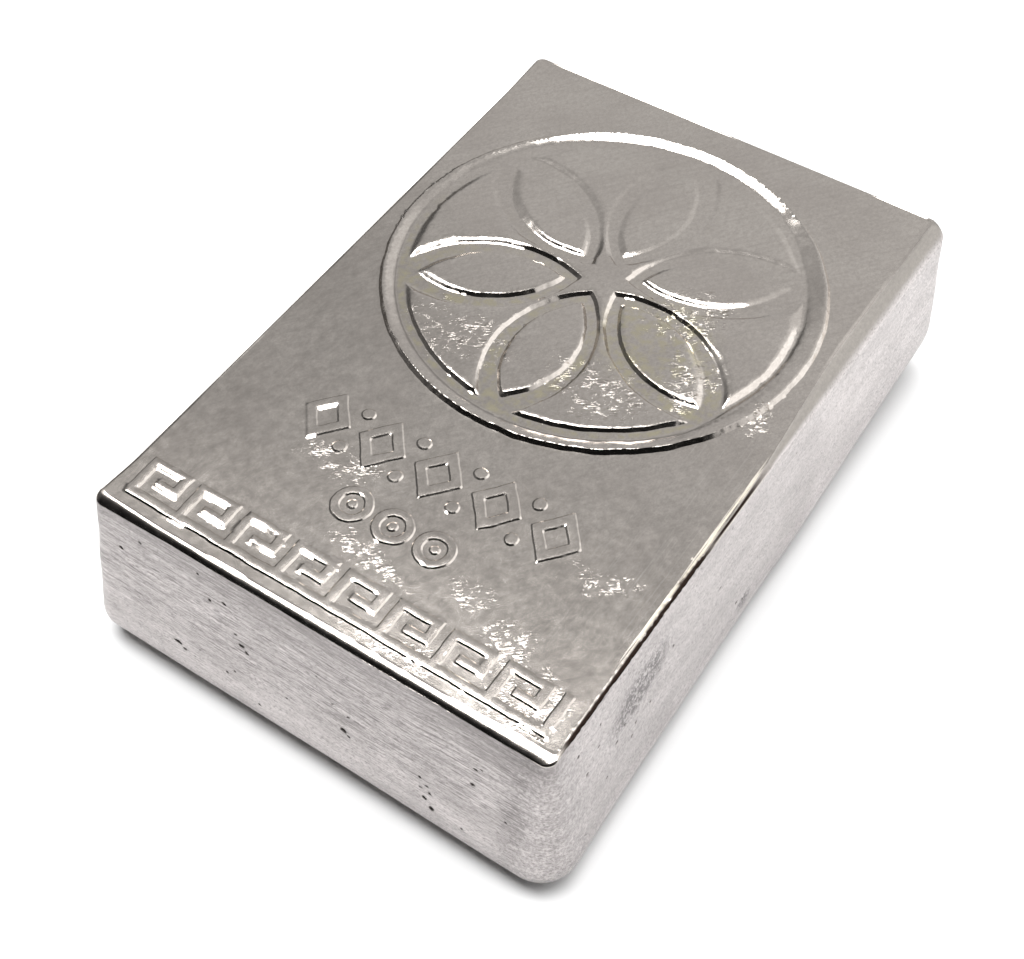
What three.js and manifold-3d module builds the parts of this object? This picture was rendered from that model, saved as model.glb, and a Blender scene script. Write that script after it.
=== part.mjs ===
// Bismuth ingot: one small cast block, wider at its base, with a raised medallion
// and three rows of raised ornament on its top face.
// Millimetres, +Z up. The origin is the centre of the flat resting face, and +Y is
// the end that carries the medallion.
import * as THREE from 'three'
import { mergeVertices } from 'three/addons/utils/BufferGeometryUtils.js'
import Module from 'manifold-3d'

// Block
const TOP_WIDTH = 40.4
const TOP_LENGTH = 62.1
const BLOCK_HEIGHT = 17.2
const FLARE = 2.2 // each side runs out this far from the top edge to the base
const END_TAPER = 0.4 // the medallion end is wider by this, the other end narrower
const SIDE_SAG = 0.5 // the +X side is drawn in by this at the middle of its length
const TOP_CORNER_RADIUS = 0.8
const BASE_CORNER_RADIUS = 3.8
const BASE_EDGE_RADIUS = 3.5
const TOP_EDGE_RADIUS = 0.7

// Relief on the top face
const RELIEF_HEIGHT = 0.35
const RELIEF_SLOPE = 0.12 // horizontal run of a raised shape's wall
const RELIEF_ROOT = 0.4 // how deep a raised shape is joined into the block
const ARC_STEPS = 12

// Medallion: a rim, and a disc cut by grooves into petals, panels and a boss
const MEDALLION_X = -0.5
const MEDALLION_Y = 9.2
const RIM_OUTER_RADIUS = 18.4
const RIM_CREST_RADIUS = 18.05 // steep wall outside the crest, a gentle slope inside it
const RIM_INNER_RADIUS = 17
const RIM_HEIGHT = 0.45
const DISC_RADIUS = 16.3
const PETALS = 6
const PETAL_START = 3.2 // distance of a petal's inner tip from the medallion's centre
const PETAL_END = 15.3
const PETAL_WIDTH = 5.2
const GROOVE_WIDTH = 1.2
const GROOVE_SLOPE = 0.15
const BOSS_RADIUS = 2
const ROUND_STEPS = 96

// Ornament rows, each centred on ROW_X
const ROW_X = -0.15
const LOZENGE_ROW_Y = -15.1
const LOZENGES = 5
const LOZENGE_WIDTH = 4.3
const LOZENGE_HEIGHT = 5.3
const LOZENGE_PITCH = 5.2
const LOZENGE_STROKE = 0.85
const PELLET_RADIUS = 0.55
const PELLET_RISE = 1.9 // distance of a pellet from the row's centre line
const ROUNDEL_ROW_Y = -20.9
const ROUNDELS = 3
const ROUNDEL_RADIUS = 1.65
const ROUNDEL_PITCH = 3.7
const ROUNDEL_STROKE = 0.7
const ROUNDEL_DOT_RADIUS = 0.4
const FRET_ROW_Y = -27.5
const FRET_HOOKS = 8
const FRET_STROKE = 0.76

// Casting pits: the place along the side, the height above the base and the radius
const FRONT_PITS = [
  [-18, 13, 0.45], [-12.6, 5.6, 0.55], [-9.1, 14.8, 0.35], [-8.6, 11.7, 0.35],
  [-6, 10, 0.4], [-4.9, 3.7, 0.35], [2, 9.7, 0.4], [3.4, 7.2, 0.6],
  [10.8, 5.7, 0.55], [11.4, 3.9, 0.6], [14.4, 12.2, 0.35], [17.3, 8.2, 0.4],
]
const SIDE_PITS = [
  [-27.3, 11.4, 0.35], [-21.2, 8.6, 0.6], [-19, 6.2, 0.5], [-8.1, 10.8, 0.4],
]
const PIT_SINK = 0.45 // share of a pit's radius by which its centre lies outside the wall

const wasm = await Module()
wasm.setup()

function toSolid(geometry) {
  const bare = geometry.clone()
  bare.deleteAttribute('normal')
  bare.deleteAttribute('uv')
  const merged = mergeVertices(bare, 1e-4)
  const mesh = new wasm.Mesh({
    numProp: 3,
    vertProperties: new Float32Array(merged.attributes.position.array),
    triVerts: new Uint32Array(merged.index.array),
  })
  return new wasm.Manifold(mesh)
}

function toGeometry(solid) {
  const mesh = solid.getMesh()
  const geometry = new THREE.BufferGeometry()
  geometry.setAttribute('position', new THREE.BufferAttribute(mesh.vertProperties, 3))
  geometry.setIndex(new THREE.BufferAttribute(mesh.triVerts, 1))
  geometry.computeVertexNormals()
  return geometry
}

// ---- Block ----

// One level of the block: its height, how far it is drawn in, and its share of the flare
function blockLevels() {
  const levels = []
  const baseSteps = 5
  for (let i = 0; i <= baseSteps; i++) {
    const turn = (i / baseSteps) * Math.PI / 2
    const inset = BASE_EDGE_RADIUS * (1 - Math.sin(turn))
    levels.push({ z: BASE_EDGE_RADIUS * (1 - Math.cos(turn)), inset })
  }
  const topSteps = 4
  for (let i = 0; i <= topSteps; i++) {
    const turn = (i / topSteps) * Math.PI / 2
    const inset = TOP_EDGE_RADIUS * (1 - Math.cos(turn))
    levels.push({ z: BLOCK_HEIGHT - TOP_EDGE_RADIUS * (1 - Math.sin(turn)), inset })
  }
  return levels
}

// A rectangle with round corners, its sides cut into short stretches
function blockOutline() {
  const halfX = TOP_WIDTH / 2
  const halfY = TOP_LENGTH / 2
  const radius = TOP_CORNER_RADIUS
  const stretches = 6
  const cornerSteps = 5
  const corners = [[1, 1, 0], [-1, 1, 1], [-1, -1, 2], [1, -1, 3]]
  const points = []
  for (const [sideX, sideY, quarter] of corners) {
    for (let i = 0; i <= cornerSteps; i++) {
      const angle = (quarter + i / cornerSteps) * Math.PI / 2
      const x = sideX * (halfX - radius) + radius * Math.cos(angle)
      const y = sideY * (halfY - radius) + radius * Math.sin(angle)
      points.push(new THREE.Vector2(x, y))
    }
  }
  const outline = []
  points.forEach((point, i) => {
    const next = points[(i + 1) % points.length]
    const cuts = point.distanceTo(next) > 2 * radius ? stretches : 1
    for (let cut = 0; cut < cuts; cut++) {
      outline.push(point.clone().lerp(next, cut / cuts))
    }
  })
  return new THREE.Shape(outline)
}

// Moves one coordinate from the top outline to a level's half size and corner radius
function fitToLevel(value, half, newHalf, newRadius) {
  const core = half - TOP_CORNER_RADIUS
  const along = Math.min(Math.abs(value), core)
  const round = Math.abs(value) - along
  const moved = along * (newHalf - newRadius) / core + round * newRadius / TOP_CORNER_RADIUS
  return Math.sign(value) * moved
}

function block() {
  const levels = blockLevels()
  const steps = levels.length - 1
  const options = { depth: steps, steps, bevelEnabled: false }
  const geometry = new THREE.ExtrudeGeometry(blockOutline(), options)
  const position = geometry.attributes.position
  for (let i = 0; i < position.count; i++) {
    const level = levels[Math.round(position.getZ(i))]
    const drop = 1 - level.z / BLOCK_HEIGHT
    const grow = FLARE * drop - level.inset
    const corner = THREE.MathUtils.lerp(TOP_CORNER_RADIUS, BASE_CORNER_RADIUS, drop)
    const radius = Math.max(corner - level.inset, corner / 2)
    let x = fitToLevel(position.getX(i), TOP_WIDTH / 2, TOP_WIDTH / 2 + grow, radius)
    const y = fitToLevel(position.getY(i), TOP_LENGTH / 2, TOP_LENGTH / 2 + grow, radius)
    const alongY = THREE.MathUtils.clamp(y / (TOP_LENGTH / 2), -1, 1)
    const acrossX = x / (TOP_WIDTH / 2)
    x += END_TAPER * alongY * acrossX / 2
    x -= SIDE_SAG * (1 - alongY * alongY) * Math.max(acrossX, 0)
    position.setXYZ(i, x, y, level.z)
  }
  return toSolid(geometry)
}

// ---- Relief ----

// A flat-topped raised shape with sloping walls, standing on the top face
function raised(shape, height) {
  const geometry = new THREE.ExtrudeGeometry(shape, {
    depth: RELIEF_ROOT,
    steps: 1,
    bevelEnabled: true,
    bevelThickness: height,
    bevelSize: RELIEF_SLOPE,
    bevelOffset: -RELIEF_SLOPE,
    bevelSegments: 1,
    curveSegments: ARC_STEPS,
  })
  geometry.translate(0, 0, BLOCK_HEIGHT - RELIEF_ROOT)
  return geometry
}

// A turned piece on the medallion's axis, from points given as radius and height
function turned(profile) {
  const points = profile.map(([radius, height]) => new THREE.Vector2(radius, height))
  const geometry = new THREE.LatheGeometry(points, ROUND_STEPS)
  geometry.rotateX(Math.PI / 2)
  geometry.translate(MEDALLION_X, MEDALLION_Y, BLOCK_HEIGHT)
  return toSolid(geometry)
}

// A pointed oval along +X made of two equal arcs
function ovalPoints(start, end, width) {
  const halfLength = (end - start) / 2
  const halfWidth = width / 2
  const radius = (halfLength ** 2 + halfWidth ** 2) / width
  const reach = Math.asin(halfLength / radius)
  const points = []
  for (const side of [-1, 1]) {
    for (let i = 0; i < ARC_STEPS; i++) {
      const angle = reach * (2 * i / ARC_STEPS - 1)
      const x = (start + end) / 2 - side * radius * Math.sin(angle)
      const y = side * (radius * Math.cos(angle) - radius + halfWidth)
      points.push(new THREE.Vector2(x, y))
    }
  }
  return points
}

function medallionRim() {
  const slopeMiddle = (RIM_CREST_RADIUS + RIM_INNER_RADIUS) / 2
  return turned([
    [RIM_INNER_RADIUS, -RELIEF_ROOT],
    [RIM_OUTER_RADIUS, -RELIEF_ROOT],
    [RIM_OUTER_RADIUS, 0],
    [RIM_CREST_RADIUS, RIM_HEIGHT],
    [slopeMiddle, RIM_HEIGHT * 0.6],
    [RIM_INNER_RADIUS, 0],
    [RIM_INNER_RADIUS, -RELIEF_ROOT],
  ])
}

function round(radius, height) {
  return turned([
    [0, -RELIEF_ROOT],
    [radius, -RELIEF_ROOT],
    [radius, 0],
    [radius - RELIEF_SLOPE, height],
    [0, height],
  ])
}

// The groove that runs round one petal, narrower at its floor
function petalGroove(index) {
  const start = PETAL_START - GROOVE_WIDTH
  const end = PETAL_END + 2 * GROOVE_WIDTH
  const shape = new THREE.Shape(ovalPoints(start, end, PETAL_WIDTH + 2 * GROOVE_WIDTH))
  shape.holes.push(new THREE.Path(ovalPoints(PETAL_START, PETAL_END, PETAL_WIDTH)))
  const geometry = new THREE.ExtrudeGeometry(shape, {
    depth: RELIEF_HEIGHT,
    bevelEnabled: true,
    bevelThickness: RELIEF_HEIGHT,
    bevelSize: GROOVE_SLOPE,
    bevelOffset: -GROOVE_SLOPE,
    bevelSegments: 1,
  })
  geometry.translate(0, 0, RELIEF_HEIGHT)
  geometry.rotateZ((index + 0.5) * 2 * Math.PI / PETALS)
  geometry.translate(MEDALLION_X, MEDALLION_Y, BLOCK_HEIGHT)
  return toSolid(geometry)
}

function medallionDisc() {
  let disc = round(DISC_RADIUS, RELIEF_HEIGHT)
  for (let i = 0; i < PETALS; i++) {
    disc = disc.subtract(petalGroove(i))
  }
  return disc.add(round(BOSS_RADIUS, RIM_HEIGHT))
}

function placed(shape, x, y) {
  const geometry = raised(shape, RELIEF_HEIGHT)
  geometry.translate(ROW_X + x, y, 0)
  return toSolid(geometry)
}

function dot(radius) {
  return new THREE.Shape().absarc(0, 0, radius, 0, 2 * Math.PI, false)
}

function lozengePoints(scale) {
  const x = scale * LOZENGE_WIDTH / 2
  const y = scale * LOZENGE_HEIGHT / 2
  return [[x, 0], [0, y], [-x, 0], [0, -y]].map((point) => new THREE.Vector2(...point))
}

function lozengeRow() {
  const area = LOZENGE_WIDTH * LOZENGE_HEIGHT
  const opening = 1 - 2 * LOZENGE_STROKE * Math.hypot(LOZENGE_WIDTH, LOZENGE_HEIGHT) / area
  const pieces = []
  for (let i = 0; i < LOZENGES; i++) {
    const x = (i - (LOZENGES - 1) / 2) * LOZENGE_PITCH
    const lozenge = new THREE.Shape(lozengePoints(1))
    lozenge.holes.push(new THREE.Path(lozengePoints(opening)))
    pieces.push(placed(lozenge, x, LOZENGE_ROW_Y))
  }
  for (let i = 1; i < LOZENGES; i++) {
    const x = (i - LOZENGES / 2) * LOZENGE_PITCH
    pieces.push(placed(dot(PELLET_RADIUS), x, LOZENGE_ROW_Y + PELLET_RISE))
    pieces.push(placed(dot(PELLET_RADIUS), x, LOZENGE_ROW_Y - PELLET_RISE))
  }
  return pieces
}

function roundelRow() {
  const pieces = []
  for (let i = 0; i < ROUNDELS; i++) {
    const x = (i - (ROUNDELS - 1) / 2) * ROUNDEL_PITCH
    const ring = dot(ROUNDEL_RADIUS)
    const inside = ROUNDEL_RADIUS - ROUNDEL_STROKE
    ring.holes.push(new THREE.Path().absarc(0, 0, inside, 0, 2 * Math.PI, true))
    pieces.push(placed(ring, x, ROUNDEL_ROW_Y))
    pieces.push(placed(dot(ROUNDEL_DOT_RADIUS), x, ROUNDEL_ROW_Y))
  }
  return pieces
}

// A running key fret: square hooks on one base line, closed by an upright at its end.
// Its corners are counted in strokes.
function fretRow() {
  const pitch = 6
  const top = 5
  const length = FRET_HOOKS * pitch + 1
  const corners = [[0, 0], [0, top]]
  for (let hook = 0; hook < FRET_HOOKS; hook++) {
    const left = hook * pitch
    if (hook > 0) corners.push([left, 1], [left, top])
    corners.push([left + 5, top], [left + 5, 2], [left + 2, 2], [left + 2, 3])
    corners.push([left + 4, 3], [left + 4, 4], [left + 1, 4], [left + 1, 1])
  }
  corners.push([length - 1, 1], [length - 1, top], [length, top], [length, 0])
  const points = corners.map(([x, y]) => {
    return new THREE.Vector2((x - length / 2) * FRET_STROKE, (y - top / 2) * FRET_STROKE)
  })
  return [placed(new THREE.Shape(points), 0, FRET_ROW_Y)]
}

// ---- Casting pits ----

function pit(x, y, z, radius) {
  const geometry = new THREE.SphereGeometry(radius, 8, 6)
  geometry.translate(x, y, z)
  return toSolid(geometry)
}

function pits() {
  const wall = (half, height) => half + FLARE * (1 - height / BLOCK_HEIGHT)
  const front = FRONT_PITS.map(([x, height, radius]) => {
    return pit(x, -wall(TOP_LENGTH / 2, height) - PIT_SINK * radius, height, radius)
  })
  const side = SIDE_PITS.map(([y, height, radius]) => {
    const sag = SIDE_SAG * (1 - (y / (TOP_LENGTH / 2)) ** 2)
    return pit(wall(TOP_WIDTH / 2, height) - sag + PIT_SINK * radius, y, height, radius)
  })
  return [...front, ...side]
}

// ---- Ingot ----

function ingot() {
  let solid = block().add(medallionRim()).add(medallionDisc())
  for (const piece of [...lozengeRow(), ...roundelRow(), ...fretRow()]) {
    solid = solid.add(piece)
  }
  for (const hollow of pits()) {
    solid = solid.subtract(hollow)
  }
  return solid
}

const bismuth = new THREE.MeshStandardMaterial({ color: 0xb3aaa5, roughness: 0.35, metalness: 1 })
const ingotMesh = new THREE.Mesh(toGeometry(ingot()), bismuth)
ingotMesh.name = 'ingot'

const group = new THREE.Group()
group.add(ingotMesh)
export default group
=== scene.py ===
import math
import bmesh
import bpy
import numpy as np
from mathutils import Matrix, Vector, noise


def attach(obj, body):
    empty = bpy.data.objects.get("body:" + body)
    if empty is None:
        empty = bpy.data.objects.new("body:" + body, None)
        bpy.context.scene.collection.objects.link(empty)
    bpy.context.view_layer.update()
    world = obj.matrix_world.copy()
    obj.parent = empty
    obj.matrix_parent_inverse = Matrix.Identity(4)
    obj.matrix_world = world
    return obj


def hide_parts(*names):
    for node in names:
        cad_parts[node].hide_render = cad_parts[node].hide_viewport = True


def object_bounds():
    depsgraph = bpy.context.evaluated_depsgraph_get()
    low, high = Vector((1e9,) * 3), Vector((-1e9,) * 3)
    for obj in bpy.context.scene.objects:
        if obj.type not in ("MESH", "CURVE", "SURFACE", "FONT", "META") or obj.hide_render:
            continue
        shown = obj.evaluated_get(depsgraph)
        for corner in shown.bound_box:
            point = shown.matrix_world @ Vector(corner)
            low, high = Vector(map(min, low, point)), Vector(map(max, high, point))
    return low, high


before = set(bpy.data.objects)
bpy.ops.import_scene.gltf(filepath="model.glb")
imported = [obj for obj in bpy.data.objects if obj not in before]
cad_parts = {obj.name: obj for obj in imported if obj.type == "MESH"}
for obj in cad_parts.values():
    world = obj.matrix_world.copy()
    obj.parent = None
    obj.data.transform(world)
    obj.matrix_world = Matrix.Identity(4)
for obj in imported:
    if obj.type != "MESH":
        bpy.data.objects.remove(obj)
cad_box = [list(corner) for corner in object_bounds()]


# ---- The block ----
# One casting of bismuth. The mould opens upwards, so the block is wider at its base,
# its top edge is rolled over by the molten skin, and its base is rounded.
# All sizes are in millimetres until the mesh is finished.

TOP_WIDTH = 40.4
TOP_LENGTH = 62.1
BLOCK_HEIGHT = 17.2
HALF_WIDTH = TOP_WIDTH / 2
HALF_LENGTH = TOP_LENGTH / 2
FLARE = 2.2
END_TAPER = 0.4
BASE_SAG = 0.5
TOP_SAG = 0.08
BASE_EDGE_RADIUS = 3.5
# Radii of the plan's corners: front left, front right, back left and back right
TOP_CORNER_RADII = (0.8, 0.8, 0.8, 1.3)
BASE_CORNER_RADII = (2.0, 3.8, 3.8, 4.8)

# The plain box that is shaped into the block keeps a band at each edge for its rounding
BASE_BAND = 3.5
TOP_BAND = 0.8
CORNER_BAND = 2.0
CELL = 2.15
TOP_LEVELS = 12
BASE_LEVELS = 8
WALL_LEVELS = 16
CORNER_LEVELS = 6
# A rolled edge has one radius beside the top face and another from this slope outwards
ROLL_KNEE = math.radians(58)
# Two points of the box this near each other's height are on the same level of it
SAME_LEVEL = 1e-3


def step(value, low, high):
    """0 below low, 1 above high and smooth between them."""
    share = np.clip((value - low) / (high - low), 0, 1)
    return share * share * (3 - 2 * share)


def uneven(points, size, seed):
    """Smooth unevenness of about -1 to 1 with lumps of that size, in millimetres."""
    size = np.broadcast_to(np.asarray(size, float), 3)
    places = points / size + np.array([17.3, 5.9, 11.1]) * seed
    return np.array([noise.noise(Vector(place)) for place in places]) * 1.6


def cut_across(bm, axis, places):
    """Cuts the mesh by a plane across that axis at each place."""
    for place in places:
        point = Vector((0, 0, 0))
        normal = Vector((0, 0, 0))
        point[axis] = place
        normal[axis] = 1
        everything = bm.verts[:] + bm.edges[:] + bm.faces[:]
        bmesh.ops.bisect_plane(bm, geom=everything, dist=1e-4, plane_co=point, plane_no=normal)


def rolled_edge(turn, upper, lower, end):
    """Drop and draw-in of a rolled edge, from its foot on the wall at 0 to the top face at 1."""
    slope = end + (math.pi / 2 - end) * turn
    above = np.maximum(slope, ROLL_KNEE)
    below = np.minimum(slope, ROLL_KNEE)
    drop = upper * (1 - np.sin(above)) + lower * (math.sin(ROLL_KNEE) - np.sin(below))
    run = upper * np.cos(above) + lower * (np.cos(below) - math.cos(ROLL_KNEE))
    whole_run = upper * math.cos(ROLL_KNEE) + lower * (np.cos(end) - math.cos(ROLL_KNEE))
    return drop, whole_run - run


def edge_along_x(u, v):
    """Upper radius, lower radius and foot slope of the front and the back top edge."""
    front = step(-v, -8, 8)
    near_right = step(u, 12, 19.8)
    near_left = step(-u, 12, 19)
    left_half = step(-u, -2, 16)
    upper = 0.3 + front * (0.8 + 0.9 * near_right - 0.4 * left_half)
    lower = 0.3 + front * (0.45 + 0.65 * near_left + 0.22 * left_half - 0.25 * near_right)
    return upper, lower, np.radians(10 + 25 * front)


def edge_along_y(u, v):
    """Upper radius, lower radius and foot slope of the left and the right top edge."""
    right = step(u, -8, 8)
    soft = step(v, -6, 14)
    upper = 0.3 + right * 1.1 * soft
    lower = 0.3 + right * 1.2 * soft
    return upper, lower, np.radians(10 + 12 * right * (1 - soft))


def by_corner(u, v, radii):
    """A corner radius, evenly blended from one corner of the plan to the next."""
    right = step(u, -18, 18)
    back = step(v, -28, 28)
    front_radius = radii[0] + (radii[1] - radii[0]) * right
    back_radius = radii[2] + (radii[3] - radii[2]) * right
    return front_radius + (back_radius - front_radius) * back


def corner_reach(u, v):
    """How far a place of the box lies into the corner bands of its width and its length."""
    over_u = np.clip(np.abs(u) - HALF_WIDTH + CORNER_BAND, 0, None) / CORNER_BAND
    over_v = np.clip(np.abs(v) - HALF_LENGTH + CORNER_BAND, 0, None) / CORNER_BAND
    return over_u, over_v


def plan_rounding(u, v, new_half_u, new_half_v, radius):
    """Moves plan coordinates of the box to a rectangle of another size with round corners."""
    core_u = HALF_WIDTH - CORNER_BAND
    core_v = HALF_LENGTH - CORNER_BAND
    over_u, over_v = corner_reach(u, v)
    reach = np.maximum(over_u, over_v)
    turn = np.minimum(over_u, over_v) / np.maximum(reach, 1e-9) * math.pi / 4
    near_u = over_u >= over_v
    arc_u = reach * np.where(near_u, np.cos(turn), np.sin(turn))
    arc_v = reach * np.where(near_u, np.sin(turn), np.cos(turn))
    x = np.minimum(np.abs(u), core_u) * (new_half_u - radius) / core_u + radius * arc_u
    y = np.minimum(np.abs(v), core_v) * (new_half_v - radius) / core_v + radius * arc_v
    return np.sign(u) * x, np.sign(v) * y


def shape_block(box_points):
    """Shapes points of the plain box into the block."""
    u, v, w = box_points.T
    over_u, over_v = corner_reach(u, v)
    share = over_v / np.maximum(over_u + over_v, 1e-9)
    turn = np.clip((w - BLOCK_HEIGHT) / TOP_BAND + 1, 0, 1)
    drop_u, inset_u = rolled_edge(turn, *edge_along_y(u, v))
    drop_v, inset_v = rolled_edge(turn, *edge_along_x(u, v))
    drop = drop_u + (drop_v - drop_u) * share
    side_z = w * (BLOCK_HEIGHT - drop) / (BLOCK_HEIGHT - TOP_BAND)
    z = np.where(turn > 0, BLOCK_HEIGHT - drop, side_z)
    base_radius = BASE_EDGE_RADIUS + 3.6 * step(u, 4, HALF_WIDTH) * np.clip((v - 5) / 24, 0, 1)
    base_rise = np.clip(base_radius - z, 0, None)
    base_inset = base_radius - np.sqrt(base_radius**2 - base_rise**2)
    fall = 1 - z / BLOCK_HEIGHT
    grow = FLARE * fall - base_inset
    top_corner = by_corner(u, v, TOP_CORNER_RADII)
    corner = top_corner + (by_corner(u, v, BASE_CORNER_RADII) - top_corner) * fall
    radius = np.maximum(corner - base_inset - (inset_u + inset_v) / 2, corner / 2)
    half_u = HALF_WIDTH + grow - inset_u
    half_v = HALF_LENGTH + grow - inset_v
    x, y = plan_rounding(u, v, half_u, half_v, radius)
    along = np.clip(y / HALF_LENGTH, -1, 1)
    across = x / HALF_WIDTH
    x = x + END_TAPER * along * across / 2
    sag = TOP_SAG + (BASE_SAG - TOP_SAG) * fall
    x = x - sag * (1 - along * along) * np.maximum(across, 0)
    x = x + 0.25 * np.clip(-along, 0, 1) * fall * step(u, 0, HALF_WIDTH)
    left_end = step(-u, HALF_WIDTH - 6, HALF_WIDTH)
    front_end = step(-v, HALF_LENGTH - 6, HALF_LENGTH)
    back_end = step(v, HALF_LENGTH - 8, HALF_LENGTH - 1)
    x = x - left_end * (0.08 + 0.35 * front_end + 0.2 * back_end) * (1 - 0.8 * fall)
    return np.column_stack([x, y, z])


body = bmesh.new()
bmesh.ops.create_cube(body, size=1)
bmesh.ops.scale(body, verts=body.verts, vec=(TOP_WIDTH, TOP_LENGTH, BLOCK_HEIGHT))
bmesh.ops.translate(body, verts=body.verts, vec=(0, 0, BLOCK_HEIGHT / 2))
for axis, size in ((0, TOP_WIDTH), (1, TOP_LENGTH)):
    core = size / 2 - CORNER_BAND
    count = round(2 * core / CELL)
    cut_across(body, axis, [-core + 2 * core * i / count for i in range(count + 1)])
    for i in range(1, CORNER_LEVELS):
        edge_place = core + CORNER_BAND * i / CORNER_LEVELS
        cut_across(body, axis, [edge_place, -edge_place])
base_turns = [i / BASE_LEVELS * math.pi / 2 for i in range(1, BASE_LEVELS + 1)]
cut_across(body, 2, [BASE_BAND - BASE_BAND * math.cos(turn) for turn in base_turns])
cut_across(body, 2, [BLOCK_HEIGHT - TOP_BAND * (1 - i / TOP_LEVELS) for i in range(TOP_LEVELS)])
wall_height = BLOCK_HEIGHT - TOP_BAND - BASE_BAND
cut_across(body, 2, [BASE_BAND + wall_height * i / WALL_LEVELS for i in range(1, WALL_LEVELS)])


# ---- The relief ----
# A medallion and three ornament rows, cast with the block from the mould's engraving.
# The medallion is a rim, steep outside and gently sloped inside, round a six-petalled
# rosette. The rows are lozenges with pellets, three roundels and a running key fret.

ROSETTE_HEIGHT = 0.29
RIM_HEIGHT = 0.4
ROW_HEIGHT = 0.1
RELIEF_CELL = 0.134
# Points this near a wall of the relief are moved onto its lines, by so much at a time
WALL_REACH = 0.28
LONGEST_MOVE = 0.07
# A wall's foot lies this far outside its outline, and its head further in by its run
WALL_FOOT = RELIEF_CELL / 2
ROW_RUN = RELIEF_CELL
MEDALLION_RUN = 2 * RELIEF_CELL
HEAD_FILLET = 0.1
FOOT_FILLET = 0.012
MEDALLION_X = -0.5
MEDALLION_Y = 9.2
RIM_OUTER_RADIUS = 18.4
RIM_CREST_RADIUS = 18.1
RIM_INNER_RADIUS = 17.1
DISC_RADIUS = 16.25
PETALS = 6
PETAL_START = 3.2
PETAL_END = 15.3
PETAL_WIDTH = 5.2
GROOVE_WIDTH = 1.2
BOSS_RADIUS = 2.0
ROW_X = -0.15
LOZENGE_ROW_Y = -15.1
LOZENGES = 5
LOZENGE_WIDTH = 4.3
LOZENGE_HEIGHT = 5.3
LOZENGE_PITCH = 5.2
LOZENGE_STROKE = 0.85
PELLET_RADIUS = 0.55
PELLET_RISE = 1.9
ROUNDEL_ROW_Y = -20.9
ROUNDELS = 3
ROUNDEL_RADIUS = 1.65
ROUNDEL_PITCH = 3.7
ROUNDEL_STROKE = 0.7
ROUNDEL_DOT_RADIUS = 0.4
FRET_ROW_Y = -27.5
FRET_HOOKS = 8
FRET_STROKE = 0.76
# One hook of the fret in strokes: the left, low, right and high sides of its bars
HOOK_PITCH = 6
HOOK_HEIGHT = 5
HOOK_BARS = ((0, 0, 1, 5), (0, 4, 5, 5), (4, 2, 5, 5), (2, 2, 5, 3))


def oval_distance(x, y, start, end, width):
    """Distance to a pointed oval along +X: negative inside it."""
    half_length = (end - start) / 2
    radius = (half_length**2 + (width / 2) ** 2) / width
    offset = radius - width / 2
    middle = (start + end) / 2
    lower = np.hypot(x - middle, y + offset)
    upper = np.hypot(x - middle, y - offset)
    return np.maximum(lower, upper) - radius


def rosette_distance(x, y):
    """Distance to the petals, the panels between them and the boss."""
    radius = np.hypot(x, y)
    pitch = 2 * math.pi / PETALS
    angle = np.arctan2(y, x) % pitch - pitch / 2
    along = radius * np.cos(angle)
    aside = radius * np.sin(angle)
    petal = oval_distance(along, aside, PETAL_START, PETAL_END, PETAL_WIDTH)
    groove_end = PETAL_END + 2 * GROOVE_WIDTH
    groove_start = PETAL_START - GROOVE_WIDTH
    groove = oval_distance(along, aside, groove_start, groove_end, PETAL_WIDTH + 2 * GROOVE_WIDTH)
    panel = np.maximum(radius - DISC_RADIUS, -groove)
    return np.minimum(np.minimum(petal, panel), radius - BOSS_RADIUS)


def lozenge_row_distance(x, y):
    """Distance to the hollow lozenges and the pellets between them."""
    half_width = LOZENGE_WIDTH / 2
    half_height = LOZENGE_HEIGHT / 2
    nearest = np.full(x.shape, np.inf)
    for i in range(LOZENGES):
        aside = np.abs(x - (i - (LOZENGES - 1) / 2) * LOZENGE_PITCH)
        edge = aside * half_height + np.abs(y) * half_width - half_width * half_height
        edge = edge / math.hypot(half_width, half_height)
        ring = np.abs(edge + LOZENGE_STROKE / 2) - LOZENGE_STROKE / 2
        nearest = np.minimum(nearest, ring)
    for i in range(1, LOZENGES):
        aside = x - (i - LOZENGES / 2) * LOZENGE_PITCH
        pellet = np.hypot(aside, np.abs(y) - PELLET_RISE) - PELLET_RADIUS
        nearest = np.minimum(nearest, pellet)
    return nearest


def roundel_row_distance(x, y):
    """Distance to the rings and the dots in them."""
    nearest = np.full(x.shape, np.inf)
    for i in range(ROUNDELS):
        radius = np.hypot(x - (i - (ROUNDELS - 1) / 2) * ROUNDEL_PITCH, y)
        ring = np.abs(radius - ROUNDEL_RADIUS + ROUNDEL_STROKE / 2) - ROUNDEL_STROKE / 2
        nearest = np.minimum(nearest, np.minimum(ring, radius - ROUNDEL_DOT_RADIUS))
    return nearest


def bar_distance(x, y, left, low, right, high):
    """Distance to an upright rectangle."""
    over_x = np.abs(x - (left + right) / 2) - (right - left) / 2
    over_y = np.abs(y - (low + high) / 2) - (high - low) / 2
    outside = np.hypot(np.clip(over_x, 0, None), np.clip(over_y, 0, None))
    return outside + np.minimum(np.maximum(over_x, over_y), 0)


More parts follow.
